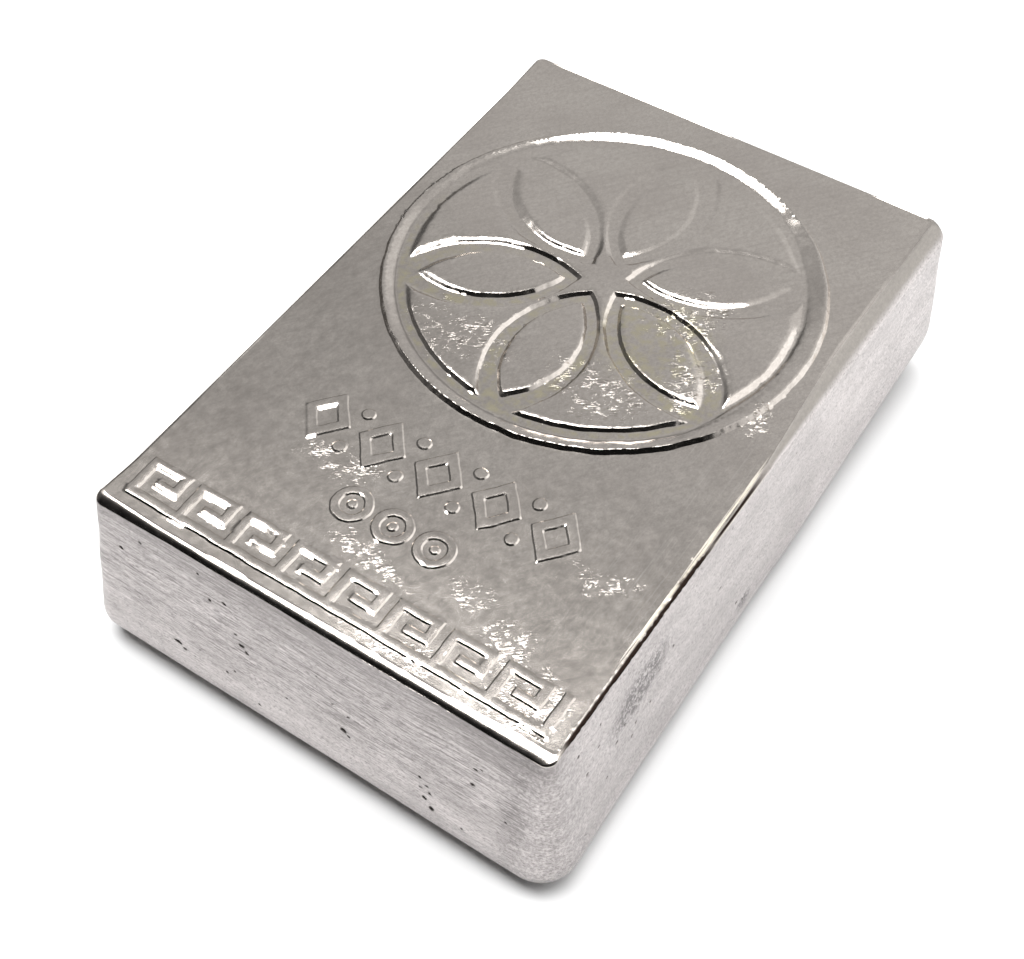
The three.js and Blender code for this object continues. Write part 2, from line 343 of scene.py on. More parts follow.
def fret_row_distance(x, y):
    """Distance to square hooks on one base line, closed by an upright at the end."""
    length = FRET_HOOKS * HOOK_PITCH + 1
    x = x / FRET_STROKE + length / 2
    y = y / FRET_STROKE + HOOK_HEIGHT / 2
    nearest = bar_distance(x, y, 0, 0, length, 1)
    nearest = np.minimum(nearest, bar_distance(x, y, length - 1, 0, length, HOOK_HEIGHT))
    for hook in range(FRET_HOOKS):
        start = hook * HOOK_PITCH
        for left, low, right, high in HOOK_BARS:
            bar = bar_distance(x, y, start + left, low, start + right, high)
            nearest = np.minimum(nearest, bar)
    return nearest * FRET_STROKE


def near_place(x, y, place_x, place_y, reach):
    """1 at a place and 0 beyond its reach."""
    return 1 - step(np.hypot(x - place_x, y - place_y), 0.5 * reach, reach)


def facing_front(distance_at, x, y):
    """1 where a wall of that relief faces the front and 0 where it faces sideways or back."""
    rise = distance_at(x, y + 0.02) - distance_at(x, y - 0.02)
    return step(-rise, 0.01, 0.03)


def relief_parts(x, y):
    """Distance, full height and run of wall of the medallion and of the rows."""
    mx = x - MEDALLION_X
    my = y - MEDALLION_Y
    rx = x - ROW_X
    radius = np.hypot(mx, my)
    # The rim is a slope at the front and the back, and a steep cove at its right
    cove = step(mx, 8, 14) * step(my, -12, -6)
    rim_inner = RIM_INNER_RADIUS - 0.5 * cove
    rim = np.abs(radius - (RIM_OUTER_RADIUS + rim_inner) / 2) - (RIM_OUTER_RADIUS - rim_inner) / 2
    slope = np.clip((radius - rim_inner) / (RIM_CREST_RADIUS - rim_inner), 0, 1)
    slope = slope ** (1.1 + 0.8 * step(my, 0, 12) - 0.7 * cove)
    rim_height = RIM_HEIGHT * (1 - 0.5 * step(-mx, 8, 14) * step(my, -8, 0))
    # The mould was filled less sharply at the back and in patches elsewhere
    faint = step(my, 0, 7)
    boss = radius < BOSS_RADIUS + GROOVE_WIDTH / 2
    rosette_height = np.where(boss, ROSETTE_HEIGHT, ROSETTE_HEIGHT * (1 - 0.7 * faint))
    soft = near_place(mx, my, -11, 2.5, 5) + near_place(mx, my, 12.5, -4.5, 4)
    soft = soft + near_place(mx, my, -14.5, -6.5, 6)
    outer_right = step(mx, 9, 14) * step(my, -4, 4) * step(radius, 15.2, 15.8)
    rosette_run = MEDALLION_RUN + 0.2 * soft + 0.15 * outer_right + 0.25 * faint * ~boss
    rim_run = np.full(x.shape, MEDALLION_RUN)
    lozenges_front = facing_front(lozenge_row_distance, rx, y - LOZENGE_ROW_Y)
    lozenges_run = ROW_RUN + 0.06 * step(-x, 9.8, 11.2) * lozenges_front
    blurred = step(-x, 2, 9)
    fret_front = facing_front(fret_row_distance, rx, y - FRET_ROW_Y)
    hooks = step(y, FRET_ROW_Y - 1.6, FRET_ROW_Y - 1.3)
    fret_run = ROW_RUN + 0.16 * blurred * fret_front * hooks
    fret_height = ROW_HEIGHT * (1 + 0.3 * blurred)
    return [
        (rim, rim_height * slope, rim_run),
        (rosette_distance(mx, my), rosette_height, rosette_run),
        (lozenge_row_distance(rx, y - LOZENGE_ROW_Y), ROW_HEIGHT, lozenges_run),
        (roundel_row_distance(rx, y - ROUNDEL_ROW_Y), ROW_HEIGHT, np.full(x.shape, ROW_RUN)),
        (fret_row_distance(rx, y - FRET_ROW_Y), fret_height, fret_run),
    ]


def wall_share(distance, run):
    """Share of the full height across a wall: straight, with a fillet at its head and foot."""
    head_fillet = np.clip((WALL_FOOT - run - distance) / RELIEF_CELL, 0, 1)
    wall = np.clip((WALL_FOOT - distance) / run, 0, 1)
    foot_fillet = np.clip((WALL_FOOT + RELIEF_CELL - distance) / RELIEF_CELL, 0, 1)
    fillets = HEAD_FILLET * head_fillet + FOOT_FILLET * foot_fillet
    return fillets + (1 - HEAD_FILLET - FOOT_FILLET) * wall


def relief_distance(x, y):
    """Distance to the nearest part of the relief: negative inside it."""
    return np.min([part[0] for part in relief_parts(x, y)], axis=0)


# ---- Marks of the casting ----
# Small ragged pits from gas and grit in the mould show on the sides. The top face has
# patches of feathery crystals, and its near right edge is crumbly where the lip broke.

# A pit's place along its side, its height above the base, its half length, half height and depth
FRONT_PITS = [
    (-18, 13, 0.24, 0.13, 0.12), (-15.9, 15, 0.16, 0.1, 0.1), (-12.95, 5.6, 0.42, 0.16, 0.22),
    (-12.2, 5.2, 0.2, 0.1, 0.12), (-10.3, 15.4, 0.16, 0.1, 0.1), (-9.3, 13.2, 0.17, 0.12, 0.12),
    (-7.9, 13.8, 0.22, 0.15, 0.12), (-8, 5.6, 0.15, 0.1, 0.1), (-7.2, 6.3, 0.13, 0.09, 0.1),
    (-7, 10.9, 0.16, 0.1, 0.12), (-6.4, 10, 0.3, 0.17, 0.18), (-5.9, 9.5, 0.16, 0.17, 0.15),
    (-4.9, 3.9, 0.18, 0.12, 0.12), (-2.2, 6.9, 0.14, 0.09, 0.1), (2, 9.7, 0.15, 0.1, 0.12),
    (3.5, 9.2, 0.14, 0.1, 0.1), (3.1, 7.3, 0.32, 0.24, 0.22), (3.6, 6.9, 0.16, 0.12, 0.14),
    (9.9, 7.3, 0.16, 0.12, 0.14), (10.6, 6.7, 0.18, 0.1, 0.16), (10.1, 6.2, 0.14, 0.1, 0.14),
    (10.9, 6, 0.2, 0.11, 0.18), (10.5, 5.2, 0.22, 0.14, 0.18), (11.2, 4.4, 0.26, 0.22, 0.24),
    (13.9, 4.3, 0.14, 0.1, 0.12), (14.4, 12.2, 0.22, 0.12, 0.12), (14.3, 10.3, 0.2, 0.15, 0.14),
    (14.9, 12.6, 0.14, 0.09, 0.1), (17.3, 8.2, 0.15, 0.1, 0.12), (0.6, 11.8, 0.13, 0.09, 0.1),
]
SIDE_PITS = [
    (-28, 14.6, 0.15, 0.12, 0.12), (-27.3, 11.4, 0.18, 0.12, 0.14),
    (-25.6, 12.6, 0.14, 0.1, 0.12), (-25, 7.8, 0.14, 0.1, 0.12), (-23.4, 10.2, 0.2, 0.14, 0.16),
    (-21.5, 8.4, 0.18, 0.13, 0.14), (-20.8, 9.4, 0.16, 0.12, 0.14),
    (-19, 6.2, 0.15, 0.11, 0.12), (-15.2, 12, 0.15, 0.1, 0.12), (-8.1, 10.8, 0.16, 0.11, 0.12),
    (-5.3, 5.8, 0.2, 0.14, 0.14), (3.8, 14.6, 0.14, 0.1, 0.1), (-17.3, 11.5, 0.14, 0.1, 0.12),
    (-16.6, 12.2, 0.13, 0.09, 0.1), (-18.7, 9.3, 0.15, 0.11, 0.14),
    (-22.2, 10.9, 0.14, 0.1, 0.12), (-25.1, 14.7, 0.13, 0.09, 0.1), (-4.2, 5, 0.16, 0.12, 0.12),
]
# A crystal patch's place on the top face, its half sizes and its strength
FROST_PATCHES = [
    (7.6, 9.3, 3.8, 4.2, 0.9), (17.5, 2.7, 2.2, 2, 1), (-6.9, -2.2, 5.5, 4.2, 0.5),
    (5.6, -1, 5.5, 4.6, 0.55), (11.2, 3.3, 3, 3.4, 0.8), (-6.9, -18.5, 3.8, 1.6, 0.5),
    (15.3, -16.6, 2.6, 1.6, 0.55), (0.4, -24.5, 4.5, 1.6, 0.55), (12, -24.3, 2.6, 2.4, 0.6),
    (15.7, -27.9, 3.2, 2.6, 0.75), (6.4, -29.6, 4.8, 1.1, 0.6), (7.6, -22.2, 0.9, 1.5, 0.5),
]

# Mesh cells: the largest on the sides, in the frost and on the front lip, and the finest
# at the crumbly edge and at a pit
SIDE_CELL = 1.1
FROST_CELL = 0.55
LIP_CELL = 0.35
CRUMB_CELL = 0.08
PIT_CELL = 0.068
# Edges this short are slivers: beside a wall of the relief, and elsewhere on the top face
WALL_SLIVER = 0.035
SLIVER = 0.02
# Heights of the waves and ripples of the sides and of the top face
SIDE_WAVE = 0.05
SIDE_RIPPLE = 0.012
TOP_WAVE = 0.05
TOP_RIPPLE = 0.006
CRUMB_DEPTH = 0.12
BASE_HOLLOW = 0.1
# Lines on which the shading breaks: a wall's foot and head, and the arris of the sides
FOOT_LINE = 1
HEAD_LINE = 2
ARRIS_LINE = 3


def frost_strength(x, y):
    """How strongly the top face is covered with feathery crystals, from 0 to 1."""
    strength = np.zeros(x.shape)
    for place_x, place_y, half_x, half_y, full in FROST_PATCHES:
        away = np.hypot((x - place_x) / half_x, (y - place_y) / half_y)
        strength = np.maximum(strength, full * (1 - step(away, 0.35, 1.15)))
    return strength


def right_edge_distance(points):
    """Distance in cross-section from the top edge of the right side."""
    x, y, z = points.T
    edge_x = HALF_WIDTH + END_TAPER * y / TOP_LENGTH
    edge_x = edge_x - TOP_SAG * (1 - (y / HALF_LENGTH) ** 2)
    return np.hypot(x - edge_x + 0.12, z - BLOCK_HEIGHT + 0.1)


def crumbly(y):
    """Where the right top edge is crumbly, from 0 to 1."""
    return step(-y, 6, 11) * step(y, -31, -28.5)


def pit_share(points):
    """Distance from the nearest pit's middle as a share of its size, its size and its depth."""
    x, y, z = points.T
    nearest = np.full(x.shape, 99.0)
    size = np.ones(x.shape)
    depth = np.zeros(x.shape)
    front = y < -HALF_LENGTH
    right = (x > HALF_WIDTH - 1) & (z < BLOCK_HEIGHT - 1)
    for pits, place, shown in ((FRONT_PITS, x, front), (SIDE_PITS, y, right)):
        for along, rise, half_length, half_height, full_depth in pits:
            away = np.hypot((place - along) / half_length, (z - rise) / half_height)
            closer = shown & (away < nearest)
            nearest = np.where(closer, away, nearest)
            size = np.where(closer, half_height, size)
            depth = np.where(closer, full_depth, depth)
    return nearest, size, depth


def grown_cell(finest, away, growth=0.4):
    """A cell that is finest beside a detail and grows with the distance away from it."""
    return np.clip(finest + growth * away, finest, CELL)


def wanted_cell(points):
    """The size of mesh cell that each place needs."""
    x, y, z = points.T
    top = z > BLOCK_HEIGHT - 0.02
    relief_away = np.abs(relief_distance(x, y)) - 0.3
    cell = np.where(top, grown_cell(RELIEF_CELL, relief_away, 0.5), SIDE_CELL)
    frost = np.where(top, frost_strength(x, y), 0)
    cell = np.where(frost > 0.05, np.minimum(cell, FROST_CELL), cell)
    pit, size = pit_share(points)[:2]
    cell = np.minimum(cell, grown_cell(PIT_CELL, pit * size - size - 0.15))
    crumb_cell = grown_cell(CRUMB_CELL, right_edge_distance(points) - 0.4)
    cell = np.minimum(cell, CELL - (CELL - crumb_cell) * crumbly(y))
    front_edge = (y < -HALF_LENGTH + 1.4) & (z > BLOCK_HEIGHT - 1.2)
    return np.where(front_edge, np.minimum(cell, LIP_CELL), cell)


for refinement in range(8):
    edges = body.edges[:]
    ends = np.array([[edge.verts[0].co, edge.verts[1].co] for edge in edges])
    lengths = np.linalg.norm(ends[:, 0] - ends[:, 1], axis=1)
    cells = wanted_cell(shape_block(ends.mean(axis=1)))
    long_edges = [edge for edge, long in zip(edges, lengths > 1.45 * cells) if long]
    if not long_edges:
        break
    bmesh.ops.subdivide_edges(body, edges=long_edges, cuts=1, use_grid_fill=True)


def wandering(points):
    """Plan coordinates at which the relief is looked up, so that its cast outline wanders."""
    wander_x = 0.05 * uneven(points, 1.6, 1) + 0.02 * uneven(points, 0.5, 2)
    wander_y = 0.05 * uneven(points, 1.6, 3) + 0.02 * uneven(points, 0.5, 4)
    return points[:, 0] + wander_x, points[:, 1] + wander_y


# Points near a wall of the relief move onto lines that follow it
box_points = np.array([vert.co for vert in body.verts])
points = shape_block(box_points)
wander_x, wander_y = wandering(points)
nudge = 0.01
distance = relief_distance(wander_x, wander_y)
line = (np.floor(distance / RELIEF_CELL) + 0.5) * RELIEF_CELL
near_wall = (box_points[:, 2] > BLOCK_HEIGHT - SAME_LEVEL) & (np.abs(distance) < WALL_REACH)
for approach in range(2):
    distance = relief_distance(wander_x, wander_y)
    slope_x = relief_distance(wander_x + nudge, wander_y)
    slope_x = slope_x - relief_distance(wander_x - nudge, wander_y)
    slope_y = relief_distance(wander_x, wander_y + nudge)
    slope_y = slope_y - relief_distance(wander_x, wander_y - nudge)
    move = np.clip(line - distance, -LONGEST_MOVE, LONGEST_MOVE)
    move = np.where(near_wall, move, 0) / (2 * nudge)
    step_aside = np.column_stack([move * slope_x, move * slope_y])
    points[:, :2] = points[:, :2] + step_aside
    wander_x = wander_x + step_aside[:, 0]
    wander_y = wander_y + step_aside[:, 1]

# Faces that this squeezed flat are dissolved
box_place = body.verts.layers.float_vector.new("box_place")
for vert, box_point, point in zip(body.verts, box_points, points):
    vert[box_place] = box_point
    vert.co = point
snapped = set(np.nonzero(near_wall)[0].tolist())
body.verts.index_update()
wall_edges = [edge for edge in body.edges if all(vert.index in snapped for vert in edge.verts)]
bmesh.ops.dissolve_degenerate(body, dist=WALL_SLIVER, edges=wall_edges)
bmesh.ops.triangulate(body, faces=body.faces[:], quad_method="BEAUTY", ngon_method="BEAUTY")
top_edges = [edge for edge in body.edges if edge.verts[0].co.z > BLOCK_HEIGHT - 0.01]
short_edges = [edge for edge in top_edges if edge.calc_length() < 0.25]
bmesh.ops.dissolve_degenerate(body, dist=SLIVER, edges=short_edges)
bmesh.ops.triangulate(body, faces=body.faces[:], quad_method="BEAUTY", ngon_method="BEAUTY")
box_points = np.array([vert[box_place] for vert in body.verts])
points = np.array([vert.co for vert in body.verts])
x, y, z = points.T
wander_x, wander_y = wandering(points)
on_top = box_points[:, 2] > BLOCK_HEIGHT - SAME_LEVEL
on_base = box_points[:, 2] < SAME_LEVEL
foot_height = BLOCK_HEIGHT - TOP_BAND
on_side = (box_points[:, 2] < foot_height + SAME_LEVEL) & ~on_base

# Full height at a wall's head and none at its foot
height = np.zeros(x.shape)
crease_line = np.zeros(x.shape)
for part_distance, full_height, run in relief_parts(wander_x, wander_y):
    height = np.maximum(height, full_height * wall_share(part_distance, run))
    at_foot = np.abs(part_distance - WALL_FOOT) < 0.04
    at_head = np.abs(part_distance - WALL_FOOT + run) < 0.04
    crisp = on_top & (np.abs(run / RELIEF_CELL - np.round(run / RELIEF_CELL)) < 0.1)
    crease_line = np.where(crisp & at_foot, FOOT_LINE, crease_line)
    crease_line = np.where(crisp & at_head, HEAD_LINE, crease_line)
distance = relief_distance(wander_x, wander_y)
z = z + np.where(on_top, height, 0)

# The front's rolled edge is uneven
rolled = ~on_top & ~on_side & ~on_base
edge_place = np.column_stack([x, np.where(y < 0, -9.0, 9.0), np.zeros(x.shape)])
lip = 0.04 * uneven(edge_place, 3.5, 5) + 0.02 * uneven(edge_place, 1.1, 6)
lip = lip * step(z, BLOCK_HEIGHT - 5, BLOCK_HEIGHT - 2)
z = z + np.where(~on_top & (y < -HALF_LENGTH + 2), lip, 0)

points = np.column_stack([x, y, z])
for vert, point in zip(body.verts, points):
    vert.co = point
body.normal_update()
outward = np.array([vert.normal for vert in body.verts])
side = np.where(on_side, 1.0, 0.0)

# Broad waves, fine ripples along the sides, pits, crystals and the crumbly edge
frost = np.where(on_top, frost_strength(x + uneven(points, 2.2, 7), y + uneven(points, 2.2, 8)), 0)
bump = SIDE_WAVE * side * uneven(points, (14, 14, 3.5), 9)
bump = bump + SIDE_RIPPLE * side * uneven(points, (5, 5, 0.9), 10)
top_bump = TOP_WAVE * uneven(points, 13, 11) + TOP_RIPPLE * uneven(points, 3, 12)
bump = bump + np.where(on_top, top_bump, 0)
ragged = points + 0.07 * np.column_stack([uneven(points, 0.28, seed) for seed in (16, 17, 18)])
pit, _, pit_depth = pit_share(ragged)
bump = bump - pit_depth * np.clip(1 - pit**2, 0, 1)
edge_noise = 0.08 * uneven(points, 0.4, 14) + 0.07 * uneven(points, 2.2, 21)
edge_share = 1 - step(right_edge_distance(points) + edge_noise, 0.17, 0.29)
notches = np.clip(0.6 * uneven(points, 1.9, 15) + 0.7 * uneven(points, 0.5, 20) + 0.2, 0, 1)
bump = bump - CRUMB_DEPTH * crumbly(y) * edge_share * notches
points = points + outward * bump[:, None]
hollow = BASE_HOLLOW * step(uneven(points, 9, 19), -0.2, 1.2)
points[:, 2] = np.where(on_base, hollow, points[:, 2])
points[:, 2] = np.where(on_base & (outward[:, 2] > -0.98), 0, points[:, 2])

low, high = np.array(cad_box) * 1000
points = np.clip(points, low, high)
for vert, point in zip(body.verts, points * 0.001):
    vert.co = point

# The sanded wall meets the rolled edge in a sharp arris, and the relief's walls are crisp
over_u, over_v = corner_reach(*box_points.T[:2])
foot_x = edge_along_x(*box_points.T[:2])[2]
foot_y = edge_along_y(*box_points.T[:2])[2]
foot_slope = np.where(over_v >= over_u, foot_x, foot_y)
at_foot_height = np.abs(box_points[:, 2] - foot_height) < SAME_LEVEL
at_arris = at_foot_height & (foot_slope > math.radians(18))
crease_line = np.where(at_arris, ARRIS_LINE, crease_line)
body.verts.index_update()
for edge in body.edges:
    first, second = [crease_line[vert.index] for vert in edge.verts]
    edge.smooth = first == 0 or first != second
for face in body.faces:
    face.smooth = True
ingot_mesh = bpy.data.meshes.new("cast_ingot")
body.to_mesh(ingot_mesh)
body.free()
ingot = bpy.data.objects.new("cast_ingot", ingot_mesh)
bpy.context.scene.collection.objects.link(ingot)

# Where each mark of the finish shows, from 0 to 1. The top face has grime in the medallion's
# grooves, drawn strokes and a rubbed lip. Painted shade darkens the rim's inner foot, the sides
# and the rolled edge at the back right, and the crumbly right edge is painted near black with
# grime and shade.
medallion_radius = np.hypot(x - MEDALLION_X, y - MEDALLION_Y)
in_medallion = medallion_radius < RIM_CREST_RADIUS
rubbed = step(-y, -2, 4) * step(y, -24, -18) * (1 - step(right_edge_distance(points), 0.35, 0.6))
groove_dirt = np.where(in_medallion & on_top, step(distance, 0.05, 0.3), 0) * step(-y, -14, 0)
groove_dirt = np.maximum(groove_dirt, 0.9 * near_place(x, y, 6.5, 5.5, 6) * on_top)
drawn = step(x, 9, 18) * step(-y, -5, 4) * step(y, -28, -22) * on_top
at_front = step(-y, HALF_LENGTH - 3, HALF_LENGTH)
# Painted shade on the sides: a band under the front's top edge, a band along the base, and the
# right side darker at its bottom and its front
front_shade = step(z, 12.5, 16.6) * (0.88 + 0.12 * step(x, 4, 12)) * at_front
smear = np.hypot((z - 12.5 - 0.18 * (y + 20)) / 2.4, (y + 20) / 5.2)
spot = np.hypot((y + 4) / 1.6, (z - 4.7) / 1.3)
smudge = np.maximum(1 - step(smear, 0.4, 1.2), 1 - step(spot, 0.3, 1))
fore = step(-y, -12, -5)
smudge = np.maximum(smudge, 0.11 + 0.08 * fore + 0.1 * step(-y, 4, 24) + 0.22 * step(y, 10, 26))
on_right = step(x, HALF_WIDTH - 1, HALF_WIDTH)
smudge = smudge * on_right
smudge = np.maximum(smudge, 0.1 * step(x, 2, HALF_WIDTH) * at_front)
smudge = np.maximum(smudge, 0.45 * near_place(x, y, HALF_WIDTH + 1, -HALF_LENGTH - 1, 6))
low_right = 0.5 * step(-z, -5, -0.6) + 0.4 * step(-z, -1.6, -0.2)
right_shade = np.maximum(low_right, 0.3 * fore)
base_shade = 0.06 * step(-z, -3.6, -0.6) + right_shade * on_right
roll_share = np.clip((BLOCK_HEIGHT - box_points[:, 2]) / TOP_BAND, 0, 1)
at_right = step(x, HALF_WIDTH - 2, HALF_WIDTH - 1)
back_right = at_right * step(y, -5, 1)
worn = step(roll_share, 0.0, 0.2) * back_right
# Painted shade: a thin dark line along the middle of the right rolled edge, continuing the crumbly
# part towards the back
thin_edge_shade = (1 - step(np.abs(roll_share - 0.5), 0.2, 0.45)) * at_right
thin_edge_shade = thin_edge_shade * step(-y, -1, 4) * step(y, -12, -8)
# Painted shade: a dark line along the foot of the rim's inner wall, strongest at the front
rim_foot_shade = 1 - step(np.abs(medallion_radius - RIM_INNER_RADIUS - 0.1), 0.05, 0.14)
rim_foot_shade = 0.55 * rim_foot_shade * step(-y, -14, 4) * on_top
# Painted light: the scratches' grime is halved low on the front side, which lightens it there
painted_light_low_front = step(-z, -9, -4) * at_front
brushing_and_light_lift = (1 - 0.9 * step(x, HALF_WIDTH - 2.2, HALF_WIDTH - 0.2)) * (1 - 0.5 * painted_light_low_front)
surface_marks = {
    "brushing_and_light_lift": side * brushing_and_light_lift,
    "frost": frost * np.where(y < MEDALLION_Y - RIM_OUTER_RADIUS, step(distance, -0.03, 0.1), 1),
    "dirt": groove_dirt,
    "drawn": drawn,
    "pits_and_rim_shade": np.maximum(1 - step(pit, 0.8, 1.1), rim_foot_shade),
    "edge_grime_and_shade": np.maximum(crumbly(y) * edge_share, thin_edge_shade) * (1 - side),
    "rubbed": np.where(on_top, rubbed, 0),
    "shade": side * np.maximum(front_shade, base_shade),
    "roll_shade": back_right * (1 - step(roll_share, 0.52, 0.95)) * ~on_top,
    "smudge": side * smudge,
    "worn": worn,
    "tarnish": on_top * step(-x, 7, 17) * step(-y, -10, 2),
}
for name, values in surface_marks.items():
    attribute = ingot_mesh.attributes.new(name, "FLOAT", "POINT")
    attribute.data.foreach_set("value", values.astype(np.float32))
corners = np.empty(len(ingot_mesh.polygons) * 3, int)
ingot_mesh.polygons.foreach_get("vertices", corners)
sanded = (on_side | on_base)[corners].reshape(-1, 3).all(axis=1)
side_attribute = ingot_mesh.attributes.new("side", "FLOAT", "FACE")
side_attribute.data.foreach_set("value", sanded.astype(np.float32))


# ---- The finish ----
# Bare bismuth with a faint warm cast. The top face keeps the smooth skin of the melt,
# and the sides are sanded along their length.

BRIGHT_METAL = (0.70, 0.65, 0.60, 1)
DULL_METAL = (0.63, 0.58, 0.535, 1)
YELLOWED_METAL = (0.61, 0.56, 0.42, 1)
SIDE_METAL = (0.64, 0.60, 0.59, 1)
SCRATCHED_AND_SHADE_METAL = (0.20, 0.185, 0.18, 1)
SMUDGED_METAL = (0.11, 0.10, 0.10, 1)
RUBBED_METAL = (0.86, 0.82, 0.77, 1)
STREAKED_METAL = (0.46, 0.42, 0.385, 1)
LIP_METAL = (0.60, 0.55, 0.46, 1)
ROLL_SHADE_METAL = (0.335, 0.312, 0.285, 1)
CREVICE_SHADE_METAL = (0.24, 0.20, 0.16, 1)
PIT_AND_RIM_SHADE_DARK = (0.07, 0.06, 0.055, 1)
EDGE_GRIME_AND_SHADE = (0.03, 0.02, 0.016, 1)

finish = bpy.data.materials.new("cast_bismuth")
finish.use_nodes = True
finish.node_tree.nodes.clear()


def add(kind, inputs, **settings):
    """A node of the finish, its inputs given as values or as the sockets that feed them."""
    made = finish.node_tree.nodes.new("ShaderNode" + kind)
    for name, value in settings.items():
        setattr(made, name, value)
    for name, value in inputs.items():
        if isinstance(value, bpy.types.NodeSocket):
            finish.node_tree.links.new(value, made.inputs[name])
        else:
            made.inputs[name].default_value = value
    return made


def lumps(place, scale, size=(1, 1, 1), turn=0.0, detail=3.0, roughness=0.5):
    """Noise from 0 to 1 at so many lumps a millimetre, turned about Z and stretched by size."""
    turned = add("Mapping", {"Vector": place, "Rotation": (0, 0, turn)}).outputs[0]
    stretched = add("Mapping", {"Vector": turned, "Scale": size}).outputs[0]
    settings = {"Vector": stretched, "Scale": scale, "Detail": detail, "Roughness": roughness}
    return add("TexNoise", settings).outputs["Fac"]


def span(value, low, high, to_low=0.0, to_high=1.0):
    """A value spread from one range to another, and held at its ends."""
    limits = {"From Min": low, "From Max": high, "To Min": to_low, "To Max": to_high}
    return add("MapRange", {"Value": value, **limits}).outputs["Result"]


def blend(share, first, second):
    """A colour mixed from two, by the second one's share."""
    made = add("Mix", {0: share}, data_type="RGBA")
    for index, value in ((6, first), (7, second)):
        if isinstance(value, bpy.types.NodeSocket):
            finish.node_tree.links.new(value, made.inputs[index])
        else:
            made.inputs[index].default_value = value
    return made.outputs[2]


def reckon(operation, first, second):
    """A sum, product or maximum of two values."""
    return add("Math", {0: first, 1: second}, operation=operation).outputs[0]


def mark(name):
    """How strongly a mark of the surface shows."""
    return add("Attribute", {}, attribute_name=name).outputs["Fac"]


object_place = add("TexCoord", {}).outputs["Object"]
millimetres = add("Mapping", {"Vector": object_place, "Scale": (1000, 1000, 1000)}).outputs[0]
side_mark = reckon("MAXIMUM", mark("side"), mark("worn"))
brushing_and_light_lift_mark = mark("brushing_and_light_lift")
frost_mark = mark("frost")

# The skin of the top face, yellowed in the medallion's grooves
mottle = lumps(millimetres, 0.16)
fine_mottle = lumps(millimetres, 1.3)
top_colour = blend(span(mottle, 0.35, 0.65), BRIGHT_METAL, DULL_METAL)
speck = lumps(millimetres, 3.5, (1, 0.7, 1), 0.0, 4.0, 0.8)
top_colour = blend(span(speck, 0.35, 0.65, 0.55, 0.0), top_colour, STREAKED_METAL)
streaks = lumps(millimetres, 1.0, (3.0, 0.25, 1.0), math.radians(38), 3.0, 0.7)
top_colour = blend(span(streaks, 0.45, 0.7, 0.0, 0.3), top_colour, STREAKED_METAL)
stain = lumps(millimetres, 0.9, (1.6, 0.5, 1.0), math.radians(10), 4.0, 0.7)
stain = reckon("MULTIPLY", mark("tarnish"), span(stain, 0.46, 0.66, 0.1, 0.6))
top_colour = blend(stain, top_colour, STREAKED_METAL)
lengthwise = lumps(millimetres, 1.0, (7.0, 0.12, 1.0), 0.0, 3.0, 0.7)
drawn = reckon("MULTIPLY", mark("drawn"), span(lengthwise, 0.54, 0.68, 0.0, 0.3))
top_colour = blend(drawn, top_colour, RUBBED_METAL)
yellow = reckon("MULTIPLY", mark("dirt"), span(fine_mottle, 0.4, 0.65))
top_colour = blend(yellow, top_colour, YELLOWED_METAL)
rubbed = reckon("MULTIPLY", mark("rubbed"), span(lengthwise, 0.42, 0.54))
top_colour = blend(rubbed, top_colour, LIP_METAL)

# The sanded sides: fine wavering scratches along the wall, darker grime and painted shade
waver = add("TexNoise", {"Vector": millimetres, "Scale": 0.08, "Detail": 1.0}).outputs["Fac"]
lift = add("CombineXYZ", {"Z": reckon("MULTIPLY", waver, 1.2)}).outputs[0]
wavering = add("VectorMath", {0: millimetres, 1: lift}, operation="ADD").outputs[0]
long_scratches = lumps(wavering, 1.0, (0.18, 0.18, 6.5), 0.0, 5.0, 0.8)
short_scratches = lumps(wavering, 1.0, (0.8, 0.8, 12.0), 0.0, 4.0, 0.8)
scratches = add("Mix", {0: 0.55, 2: long_scratches, 3: short_scratches}).outputs[0]
grain = lumps(millimetres, 5.0, (0.8, 0.8, 1.5), 0.0, 3.0, 0.7)
grime = span(scratches, 0.43, 0.6)
side_colour = blend(reckon("MULTIPLY", grime, brushing_and_light_lift_mark), SIDE_METAL, SCRATCHED_AND_SHADE_METAL)
side_colour = blend(span(grain, 0.5, 0.66, 0.0, 0.7), side_colour, SCRATCHED_AND_SHADE_METAL)
strokes = lumps(wavering, 1.0, (0.8, 0.8, 8.0), 0.0, 2.0, 0.6)
stroked = reckon("MAXIMUM", brushing_and_light_lift_mark, 0.25)
strokes = reckon("MULTIPLY", span(strokes, 0.6, 0.68, 0.0, 0.65), stroked)
side_colour = blend(strokes, side_colour, SMUDGED_METAL)
specks = lumps(millimetres, 2.4, (0.8, 0.8, 1.4), 0.0, 1.0, 0.5)
side_colour = blend(span(specks, 0.72, 0.77, 0.0, 0.6), side_colour, SMUDGED_METAL)
broad = lumps(millimetres, 0.4, (0.4, 0.4, 1.2), 0.0, 4.0, 0.65)
side_colour = blend(span(broad, 0.42, 0.62, 0.0, 0.24), side_colour, SCRATCHED_AND_SHADE_METAL)
# Painted shade: the sides darkened where the shade mark is set
shaded = reckon("MULTIPLY", mark("shade"), span(long_scratches, 0.35, 0.65, 0.25, 0.75))
side_colour = blend(shaded, side_colour, SCRATCHED_AND_SHADE_METAL)
speckle = lumps(millimetres, 3.0, (1, 1, 1), 0.0, 5.0, 0.8)
smudged = reckon("MULTIPLY", mark("smudge"), span(speckle, 0.42, 0.54, 0.1, 0.95))
side_colour = blend(smudged, side_colour, SMUDGED_METAL)
